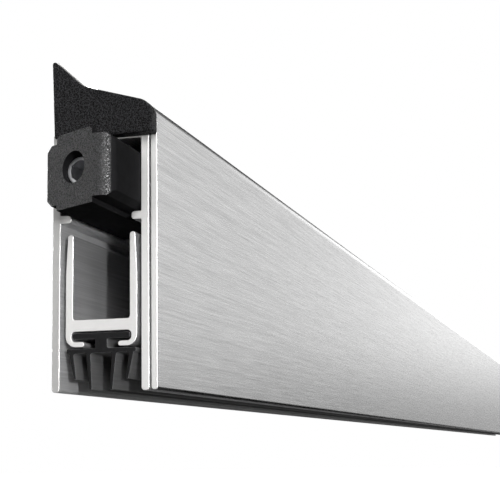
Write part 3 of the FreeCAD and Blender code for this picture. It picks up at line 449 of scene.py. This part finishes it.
HOOK_LEG, HOOK_TOE, TOE_TOP, TOE_BOTTOM = (1.3, 2.1), 2.8, 39.4, 38.2
DOOR_LEG, DOOR_TOE, CATCH_TOP, CATCH_BOTTOM = (12.2, 13.0), 13.5, 45.7, 45.0
INNER_BEND, FOOT_ROUND, TIP_ROUND = 9.507, 0.44, 0.3
cover = swept("cover_extrusion", rounded([
    (COVER_OUTER, COVER_FOOT, FOOT_ROUND), (COVER_OUTER, SHOULDER_HEIGHT, SHOULDER_ROUND),
    (BEND_DEPTH, BEND_HEIGHT, BEND_ROUND), (TIP_DEPTH, slope(STEEP, TIP_DEPTH), TIP_ROUND),
    (TIP_DEPTH, slope(STEEP, TIP_DEPTH, COVER_WALL), TIP_ROUND),
    (DOOR_LEG[1], slope(STEEP, DOOR_LEG[1], COVER_WALL), EDGE), (DOOR_LEG[1], CATCH_TOP, EDGE),
    (DOOR_TOE, CATCH_TOP, EDGE), (DOOR_TOE, CATCH_BOTTOM, EDGE), (DOOR_LEG[0], CATCH_BOTTOM, EDGE),
    (DOOR_LEG[0], slope(STEEP, DOOR_LEG[0], COVER_WALL), EDGE),
    (INNER_BEND, slope(SHALLOW, INNER_BEND, COVER_WALL), BEND_ROUND - COVER_WALL),
    (HOOK_LEG[1], slope(SHALLOW, HOOK_LEG[1], COVER_WALL), EDGE), (HOOK_LEG[1], TOE_TOP, EDGE),
    (HOOK_TOE, TOE_TOP, EDGE), (HOOK_TOE, TOE_BOTTOM, EDGE), (HOOK_LEG[0], TOE_BOTTOM, EDGE),
    (HOOK_LEG[0], slope(SHALLOW, HOOK_LEG[0], COVER_WALL), EDGE),
    (COVER_INNER, slope(SHALLOW, COVER_INNER, COVER_WALL), SHOULDER_ROUND - COVER_WALL),
    (COVER_INNER, COVER_FOOT, FOOT_ROUND),
], steps=10), 0, LENGTH)
brushed_aluminium = drawn_metal("brushed_aluminium", (0.60, 0.60, 0.60), roughness=0.26, metallic=1.0,
                                contrast=1.2, groove=0.01)
dress(cover, "cover_profile", brushed_aluminium, sawn_aluminium)

# End caps. Moulded black plates in the cover's outline, each with a peg that is pressed into the
# hollow between cover and housing. Leather grain, a soft rim outside and a small one inside.
CAP_PLATE, CAP_TIP, CAP_HEEL, CAP_STEP, CAP_BOTTOM = 2.2, 14.4, 13.95, 0.3, 37.0
CAP_RIM, CAP_BEND, CAP_ROUND = 0.3, 9.478, 0.35
CAP_PEG_FRONT, CAP_PEG_BACK, CAP_PEG_BOTTOM, CAP_PEG_TOP = 5.2, 10.6, 38.1, 41.5
CAP_PEG_REACH, CAP_PEG_ROUND = 8, 0.4


def grained_plastic(name, colour, roughness, relief, specular=0.1):
    """Black plastic from a mould with leather grain: short ridges about a fifth of a millimetre wide, with painted
    light on the ridges and painted shade in the grooves.
    """
    material, place = new_finish(name, colour, roughness, specular=specular)
    ridges = place.noise((0.2, 0.2, 0.2), detail=1, distortion=0.5)
    grain = ridges.above(0.40, 0.60)
    # Colour much lighter on the ridges and darker in the grooves: painted light and shade of the relief.
    drive(material, Base_Color=(grain * 2.4 + 0.1).tint(colour),
          Roughness=(1 - grain) * 0.2 + roughness, Normal=bump(grain, relief))
    return material


cap_plastic = grained_plastic("cap_plastic", (0.015, 0.015, 0.016), roughness=0.45, relief=0.16)
cap_outline = rounded([
    (COVER_OUTER, CAP_BOTTOM, CAP_ROUND), (COVER_OUTER, SHOULDER_HEIGHT, SHOULDER_ROUND),
    (CAP_BEND, slope(SHALLOW, CAP_BEND), BEND_ROUND),
    (CAP_TIP, slope(STEEP, CAP_TIP) - CAP_STEP, CAP_ROUND), (CAP_HEEL, CAP_BOTTOM, CAP_ROUND),
], steps=10)
cap_peg_outline = rounded([
    (CAP_PEG_FRONT, CAP_PEG_BOTTOM, CAP_PEG_ROUND), (CAP_PEG_BACK, CAP_PEG_BOTTOM, CAP_PEG_ROUND),
    (CAP_PEG_BACK, CAP_PEG_TOP, CAP_PEG_ROUND), (CAP_PEG_FRONT, CAP_PEG_TOP, CAP_PEG_ROUND),
])
for end, outside, inside in (("front", -CAP_PLATE, 0), ("rear", LENGTH + CAP_PLATE, LENGTH)):
    rims = (CAP_RIM, EDGE) if end == "front" else (EDGE, CAP_RIM)
    cap = swept(f"{end}_cap_plate", cap_outline, min(outside, inside), max(outside, inside), rims)
    dress(cap, f"{end}_end_cap", cap_plastic)
    start = 0 if end == "front" else LENGTH - CAP_PEG_REACH
    peg = swept(f"{end}_cap_peg", cap_peg_outline, start, start + CAP_PEG_REACH, (CAP_RIM, CAP_RIM))
    dress(peg, f"{end}_end_cap", cap_plastic)

# Lift frames, bell cranks and their pins. Zinc castings inside the housing: each frame guides the
# rod and holds a crank between its cheeks, and the crank turns the rod's push into the drop.
FRAME_EDGE, CRANK_EDGE, PIN_RIM = 0.2, 0.3, 0.25


def moulded(name, node, width):
    """Copy of a CAD node's mesh with merged points and edges that are rounded by a width in millimetres."""
    mesh = frame["nodes"][node].data.copy()
    mesh.name = name
    shape = bmesh.new()
    shape.from_mesh(mesh)
    bmesh.ops.remove_doubles(shape, verts=shape.verts, dist=1e-6)
    bmesh.ops.dissolve_limit(shape, angle_limit=math.radians(1), verts=shape.verts, edges=shape.edges)
    shape.to_mesh(mesh)
    shape.free()
    piece = bpy.data.objects.new(name, mesh)
    bpy.context.collection.objects.link(piece)
    modifier = piece.modifiers.new("soft_edges", "BEVEL")
    modifier.width = width / 1000
    modifier.segments = 3
    modifier.limit_method = "ANGLE"
    modifier.angle_limit = math.radians(30)
    return piece


def cast_metal(name, colour):
    """Zinc as it leaves the die: dull grey, slightly grainy and darker in patches."""
    material, place = new_finish(name, colour, 0.5, metallic=0.9)
    grain = place.noise((0.35, 0.35, 0.35), detail=3)
    patches = place.noise((6, 6, 6), detail=3, distortion=0.6)
    drive(material, Base_Color=((patches - 0.5) * 0.5 + (grain - 0.5) * 0.15 + 1).tint(colour),
          Roughness=patches * 0.25 + 0.38, Normal=bump(grain, 0.02))
    return material


def plated_metal(name, colour, roughness):
    """Bright zinc plating over steel, with faint clouds."""
    material, place = new_finish(name, colour, roughness, metallic=1.0)
    clouds = place.noise((3, 3, 3), detail=4, distortion=0.4)
    scratches = place.noise((6, 0.12, 0.12), detail=2)
    drive(material, Base_Color=((clouds - 0.5) * 0.3 + 1).tint(colour),
          Roughness=(clouds - 0.5) * 0.3 + roughness, Normal=bump(scratches, 0.004))
    return material


def bar(name, node, axis, rim, finish):
    """Round bar in the place of a CAD node, with rounded rims."""
    low, high = (np.array(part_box(node)) - ORIGIN) * 1000
    middle, half = (low + high) / 2, (high - low) / 2
    across = [(axis + 1) % 3, (axis + 2) % 3]
    piece = swept(name, circle(middle[across], half[across[0]]), low[axis], high[axis], (rim, rim), axis)
    dress(piece, node, finish)


cast_zinc = cast_metal("cast_zinc", (0.42, 0.43, 0.45))
zinc_plate = plated_metal("zinc_plate", (0.72, 0.73, 0.74), roughness=0.34)
for end in STATIONS:
    dress(moulded(f"{end}_frame_casting", f"{end}_lift_frame", FRAME_EDGE), f"{end}_lift_frame", cast_zinc)
    dress(moulded(f"{end}_crank_casting", f"{end}_bell_crank", CRANK_EDGE), f"{end}_bell_crank", cast_zinc)
    for pin in ("pivot_pin", "rod_pin", "carrier_pin"):
        bar(f"{end}_{pin}_bar", f"{end}_{pin}", 1, PIN_RIM, zinc_plate)

# Push rod with its two forks and return springs. The plated rod slides over the ledges, a moulded
# fork pressed on it turns each crank, and the springs of wound wire push rod and seal back.
ROD_RIM, FORK_EDGE = 0.4, 0.3
bar("push_rod_bar", "push_rod", 0, ROD_RIM, zinc_plate)


def smooth_plastic(name, colour, roughness, specular):
    """Black plastic from a polished mould, with a faint haze."""
    material, place = new_finish(name, colour, roughness, specular=specular)
    haze = place.noise((1.5, 1.5, 1.5), detail=3)
    drive(material, Base_Color=(haze * 0.5 + 0.75).tint(colour),
          Roughness=haze * 0.2 + roughness - 0.1, Normal=bump(haze, 0.01))
    return material


slider_plastic = smooth_plastic("slider_plastic", (0.05, 0.05, 0.053), roughness=0.42, specular=0.5)
spring_steel = plated_metal("spring_steel", (0.33, 0.33, 0.35), roughness=0.3)
COIL_RADIUS, WIRE_RADIUS, COIL_TURNS, DEAD_SHARE = 3.4, 0.48, 6.5, 0.12
STEPS_A_TURN, WIRE_SIDES = 40, 14
PRESS = next(joint for joint in frame["joints"] if joint["name"] == "plunger_press")["range_m"][1]


def coil(name, node):
    """Round-wire spring P(t) = (x(t), R sin w, R cos w) + r (N cos a + B sin a), with closed end turns.

    N points away from the axis and B along it. Over the end turns x rises by a wire's thickness a turn.
    """
    low, high = (np.array(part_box(node)) - ORIGIN) * 1000
    middle = (low + high) / 2
    share = np.linspace(0, 1, round(COIL_TURNS * STEPS_A_TURN))[:, None, None]
    turn = share * COIL_TURNS * 2 * np.pi
    opened = np.clip((share - DEAD_SHARE) / (1 - 2 * DEAD_SHARE), 0, 1)
    closed = np.clip(share / DEAD_SHARE, 0, 1) + np.clip((share - 1) / DEAD_SHARE + 1, 0, 1)
    closed_rise = 2 * WIRE_RADIUS * COIL_TURNS * DEAD_SHARE
    opened_rise = high[0] - low[0] - 2 * WIRE_RADIUS - 2 * closed_rise
    along = low[0] + WIRE_RADIUS + closed * closed_rise + opened * opened_rise
    axis, out, side = np.eye(3)[0], np.eye(3)[2], np.eye(3)[1]
    away = np.sin(turn) * side + np.cos(turn) * out
    wire = np.linspace(0, 2 * np.pi, WIRE_SIDES, endpoint=False)[None, :, None]
    centre = along * axis + np.array([0, middle[1], middle[2]]) + COIL_RADIUS * away
    return skin(name, centre + WIRE_RADIUS * (np.cos(wire) * away + np.sin(wire) * axis))


for end in STATIONS:
    fork = moulded(f"{end}_fork_moulding", f"{end}_slider_fork", FORK_EDGE)
    dress(fork, f"{end}_slider_fork", slider_plastic)
    spring = coil(f"{end}_spring_wire", f"{end}_return_spring")
    dress(spring, f"{end}_return_spring", spring_steel)
    spring_low, spring_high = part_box(f"{end}_return_spring")
    1 - PRESS / (spring_high.x - spring_low.x)
    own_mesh(spring)

# Rod end, clip and adjusting screw. The screw turns in the cast rod end, a stamped clip in its
# groove keeps it there, and a hexagon key through the block's bore sets how far the block stands out.
ROD_END_EDGE, SHEET_EDGE = 0.25, 0.1
dress(moulded("rod_end_casting", "rod_end", ROD_END_EDGE), "rod_end", cast_zinc)
dress(moulded("screw_clip_plate", "screw_clip", SHEET_EDGE), "screw_clip", zinc_plate)
SCREW_START, SOCKET_DEPTH, THREAD_END, SCREW_TAIL = -5.5, 4.0, 13.5, 28.5
GROOVE = (25.35, 26.65)
CREST, ROOT, SHANK, NECK = 2.18, 1.82, 1.7, 1.2
PITCH_OF_THREAD, THREAD_RUNOUT, HEXAGON, SOCKET_CHAMFER = 0.8, 0.4, 1.5, 0.075
FRONT_CHAMFER, SOCKET_LEAD, NECK_STEP, TAIL_CHAMFER = 0.15, 0.25, 0.05, 0.3
SCREW_SIDES, THREAD_STEPS = 72, 190
SCREW_AXIS = (8.2, 31.1)


def threaded_screw(name):
    """Screw as rings of a radius that depends on place and angle.

    Thread: root + (crest - root) |2 s - 1|, with s the fraction of a turn x / pitch - a / 2 pi.
    Socket: apothem / cos(b), with b the angle from the middle of its side of the hexagon.
    """
    angle = np.linspace(0, 2 * np.pi, SCREW_SIDES, endpoint=False)
    hexagon = HEXAGON / np.cos((angle + np.pi / 6) % (np.pi / 3) - np.pi / 6)
    along = np.linspace(SCREW_START + THREAD_RUNOUT, THREAD_END - THREAD_RUNOUT, THREAD_STEPS)
    saw = (along[:, None] / PITCH_OF_THREAD - angle / (2 * np.pi)) % 1
    thread = ROOT + (CREST - ROOT) * np.abs(2 * saw - 1)
    level = np.ones_like(angle)
    profile = [(SCREW_START + SOCKET_DEPTH, hexagon), (SCREW_START + SOCKET_LEAD, hexagon),
               (SCREW_START, np.maximum(hexagon, HEXAGON + SOCKET_CHAMFER)),
               (SCREW_START, (CREST - FRONT_CHAMFER) * level), (SCREW_START + FRONT_CHAMFER, CREST * level)]
    profile += list(zip(along, thread))
    profile += [(THREAD_END, SHANK * level), (GROOVE[0], SHANK * level),
                (GROOVE[0] + NECK_STEP, NECK * level), (GROOVE[1] - NECK_STEP, NECK * level),
                (GROOVE[1], SHANK * level), (SCREW_TAIL - TAIL_CHAMFER, SHANK * level),
                (SCREW_TAIL, (SHANK - TAIL_CHAMFER) * level)]
    radius = np.stack([row for place, row in profile])[:, :, None]
    places = np.broadcast_to(np.array([place for place, row in profile])[:, None, None], radius.shape)
    round_about = np.stack([np.cos(angle), np.sin(angle)], axis=1)
    return skin(name, np.concatenate([places, np.array(SCREW_AXIS) + radius * round_about], axis=2))


screw = threaded_screw("adjust_screw_thread")
dress(screw, "adjust_screw", zinc_plate, sharp=30)
# Faces inside the hexagon socket get a dark steel: painted shade of the recess.
screw.data.materials.append(plated_metal("socket_painted_shade", (0.16, 0.16, 0.17), roughness=0.5))
BEHIND_SOCKET = SCREW_START + SOCKET_DEPTH + EDGE
for face in screw.data.polygons:
    middle = np.array(face.center - Vector(ORIGIN)) * 1000
    in_socket = math.dist(middle[1:], SCREW_AXIS) < HEXAGON and middle[0] < BEHIND_SOCKET
    face.material_index = 1 if in_socket else 0

# Push block. Black moulding on the screw's thread whose slanted, rounded nose runs against the door
# frame. Wings slide over the ledges. The nose has the caps' grain, the sides that slide are smooth.
BLOCK_BLACK, BLOCK_EDGE = (0.022, 0.022, 0.023), 0.3
nose_plastic = grained_plastic("nose_plastic", BLOCK_BLACK, roughness=0.34, relief=0.14, specular=0.5)
side_plastic = smooth_plastic("side_plastic", BLOCK_BLACK, roughness=0.5, specular=0.0)
dress(moulded("push_block", "actuator_block", BLOCK_EDGE), "actuator_block", side_plastic, nose_plastic)

# Carrier and its brackets. Extruded aluminium U over a slot for the rubber; folded steel brackets
# staked in its web hold the pins that the cranks push down.
MIDDLE, WEB_TOP, SLOT_TOP, SLOT_BOTTOM, CARRIER_BOTTOM = 7.35, 10.39, 8.68, 7.2, 6.43
LEG_INNER, LEG_TIP, LEG_OUTER, SLOT_HALF, MOUTH_HALF = 4.39, 5.24, 5.54, 4.6, 2.6
LEG_TOP, TAPER_BOTTOM = 22.95, 17.0
LEG_ROUND, TAPER_ROUND, CARRIER_ROUND, LIP_ROUND, SLOT_ROUND = 0.4, 3.0, 1.6, 0.36, 0.6
half_carrier = [
    (LEG_INNER, WEB_TOP, LEG_ROUND), (LEG_INNER, LEG_TOP, LEG_ROUND), (LEG_TIP, LEG_TOP, LEG_ROUND),
    (LEG_OUTER, TAPER_BOTTOM, TAPER_ROUND), (LEG_OUTER, CARRIER_BOTTOM, CARRIER_ROUND),
    (MOUTH_HALF, CARRIER_BOTTOM, LIP_ROUND), (MOUTH_HALF, SLOT_BOTTOM, LIP_ROUND),
    (SLOT_HALF, SLOT_BOTTOM, SLOT_ROUND), (SLOT_HALF, SLOT_TOP, SLOT_ROUND),
]


def mirrored(half):
    """Both sides of an outline that is drawn from the mechanism's middle outwards."""
    return ([(MIDDLE + across, height, radius) for across, height, radius in half]
            + [(MIDDLE - across, height, radius) for across, height, radius in reversed(half)])


dull_aluminium = drawn_metal("dull_aluminium", (0.50, 0.50, 0.505), roughness=0.42, metallic=0.5,
                             contrast=0.9, groove=0.012)
carrier = swept("carrier_extrusion", rounded(mirrored(half_carrier)), 0, LENGTH)
TONGUES, TONGUE_HALF, PLAY = ((10.41, 11.41), (23.61, 24.61)), 2.0, 0.02
cut(carrier, [slab((station + low - PLAY, MIDDLE - TONGUE_HALF - PLAY, SLOT_TOP - OVERREACH),
                   (station + high + PLAY, MIDDLE + TONGUE_HALF + PLAY, WEB_TOP + OVERREACH))
              for station in STATIONS.values() for low, high in TONGUES])
dress(carrier, "carrier_profile", dull_aluminium, sawn_aluminium)
for end in STATIONS:
    bracket = moulded(f"{end}_bracket_sheet", f"{end}_carrier_bracket", SHEET_EDGE)
    dress(bracket, f"{end}_carrier_bracket", zinc_plate)

# Rubber seal. Extruded black rubber: a T-head in the carrier's slot and four fins that lean inwards
# and wipe the floor. Its end is cut with a knife.
SEAL_TOP, HEAD_BOTTOM, BASE_TOP, BASE_BOTTOM = 8.45, 7.6, 6.2, 5.55
HEAD_HALF, STEM_HALF, BASE_HALF = 4.4, 0.95, 5.34
HEAD_ROUND, STEM_ROUND, BASE_ROUND, FIN_ROUND, ROOT_ROUND, HEEL_ROUND = 0.3, 0.25, 0.2, 0.16, 0.3, 0.12
OUTER_FIN_ROOT, OUTER_FIN_EDGE, OUTER_FIN_END = (5.0, 4.28), (4.2, 3.78), 1.75
INNER_FIN_ROOT, INNER_FIN_EDGE, INNER_FIN_END = (2.36, 1.64), (1.76, 1.34), 0.25
half_seal = [
    (HEAD_HALF, SEAL_TOP, HEAD_ROUND), (HEAD_HALF, HEAD_BOTTOM, HEAD_ROUND),
    (STEM_HALF, HEAD_BOTTOM, STEM_ROUND), (STEM_HALF, BASE_TOP, STEM_ROUND),
    (BASE_HALF, BASE_TOP, BASE_ROUND), (BASE_HALF, BASE_BOTTOM, BASE_ROUND),
    (OUTER_FIN_ROOT[0], BASE_BOTTOM, HEEL_ROUND), (OUTER_FIN_EDGE[0], OUTER_FIN_END, FIN_ROUND),
    (OUTER_FIN_EDGE[1], OUTER_FIN_END, FIN_ROUND), (OUTER_FIN_ROOT[1], BASE_BOTTOM, ROOT_ROUND),
    (INNER_FIN_ROOT[0], BASE_BOTTOM, ROOT_ROUND), (INNER_FIN_EDGE[0], INNER_FIN_END, FIN_ROUND),
    (INNER_FIN_EDGE[1], INNER_FIN_END, FIN_ROUND), (INNER_FIN_ROOT[1], BASE_BOTTOM, ROOT_ROUND),
]
seal = swept("seal_extrusion", rounded(mirrored(half_seal)), 0, LENGTH)


def rubber(name, colour, specular):
    """Matt rubber with die lines along the seal and a faint bloom."""
    material, place = new_finish(name, colour, 0.6, specular=specular)
    die_lines = place.noise((40, 0.25, 0.25), detail=2)
    bloom = place.noise((4, 1.5, 1.5), detail=4, distortion=0.5)
    drive(material, Base_Color=(die_lines * 0.5 + bloom * 0.7 + 0.4).tint(colour),
          Roughness=bloom * 0.3 + 0.45, Normal=bump(die_lines + bloom * 0.4, 0.012))
    return material


# The skin is painted far lighter than the cut end: painted light on the fins' flanks.
black_rubber = rubber("black_rubber", (0.14, 0.14, 0.141), specular=0.3)
cut_rubber = rubber("cut_rubber", (0.008, 0.008, 0.0085), specular=0.12)
dress(seal, "seal_strip", black_rubber, cut_rubber)
